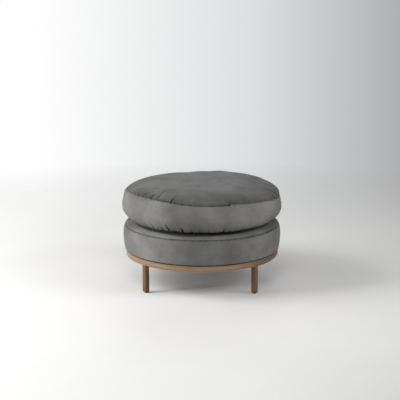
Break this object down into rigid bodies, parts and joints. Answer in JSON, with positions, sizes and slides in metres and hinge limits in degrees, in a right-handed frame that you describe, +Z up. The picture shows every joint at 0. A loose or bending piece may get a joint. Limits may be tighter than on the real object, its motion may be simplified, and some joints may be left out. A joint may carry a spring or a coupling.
{
  "type": "footstool",
  "caption": "Round velvet footstool: a loose boxed cushion on an upholstered drum with a timber ring and short square legs.",
  "frame": {"origin": "on the floor, below the middle of the stool", "axes": "+Z up; -Y is the front, towards which the cushion's zip is turned away; the legs stand at 45 degrees to +X and +Y"},
  "size_m": [0.731, 0.7312, 0.4575],
  "materials": {
    "velvet": "short-pile velvet, matt with a soft sheen",
    "oak": "walnut-brown stained oak, satin lacquer",
    "ply": "raw birch plywood",
    "hardboard": "raw bendy board",
    "foam": "open-cell upholstery foam",
    "wadding": "fibre wadding",
    "webbing": "woven jute webbing",
    "lining": "black non-woven lining",
    "cambric": "down-proof cotton cambric",
    "screw_steel": "zinc plated",
    "nylon": "dark brown nylon",
    "zip_tape": "grey woven nylon",
    "zip_metal": "dark nickel"
  },
  "bodies": {
    "base": {"base_cover_top": "velvet", "base_cover_side": "velvet", "plinth_ring": "oak", "leg_back_right": "oak", "glide_back_right": "nylon", "leg_back_left": "oak", "glide_back_left": "nylon", "leg_front_left": "oak", "glide_front_left": "nylon", "leg_front_right": "oak", "glide_front_right": "nylon", "lower_frame_ring": "ply", "upper_frame_ring": "ply", "frame_post_1": "ply", "frame_post_2": "ply", "frame_post_3": "ply", "frame_post_4": "ply", "frame_post_5": "ply", "frame_post_6": "ply", "frame_post_7": "ply", "frame_post_8": "ply", "frame_band": "hardboard", "web_across_1": "webbing", "web_across_2": "webbing", "web_across_3": "webbing", "web_across_4": "webbing", "web_along_1": "webbing", "web_along_2": "webbing", "web_along_3": "webbing", "web_along_4": "webbing", "plinth_screw_1": "screw_steel", "plinth_screw_2": "screw_steel", "plinth_screw_3": "screw_steel", "plinth_screw_4": "screw_steel", "plinth_screw_5": "screw_steel", "plinth_screw_6": "screw_steel", "plinth_screw_7": "screw_steel", "plinth_screw_8": "screw_steel", "dust_cover": "lining", "seat_foam": "foam", "side_wadding": "wadding"},
    "cushion": {"cushion_top_panel": "velvet", "cushion_bottom_panel": "velvet", "cushion_border_front": "velvet", "cushion_border_above_zip": "velvet", "cushion_border_below_zip": "velvet", "cushion_pad": "cambric", "zip_tape_upper": "zip_tape", "zip_tape_lower": "zip_tape"},
    "slider": {"zip_slider": "zip_metal"},
    "pull": {"zip_pull": "zip_metal"}
  },
  "joints": [
    {"name": "cushion_lift", "type": "slide", "parent": "base", "child": "cushion", "axis": [0, 0, 1], "range_m": [0, 0.25]},
    {"name": "zip_slide", "type": "hinge", "parent": "cushion", "child": "slider", "pos_m": [0, 0, 0.3606], "axis": [0, 0, 1], "range_deg": [0, 145]},
    {"name": "zip_pull_turn", "type": "hinge", "parent": "slider", "child": "pull", "pos_m": [0.35116, 0.11072, 0.3606], "axis": [0, 0, -1], "range_deg": [0, 170]}
  ]
}
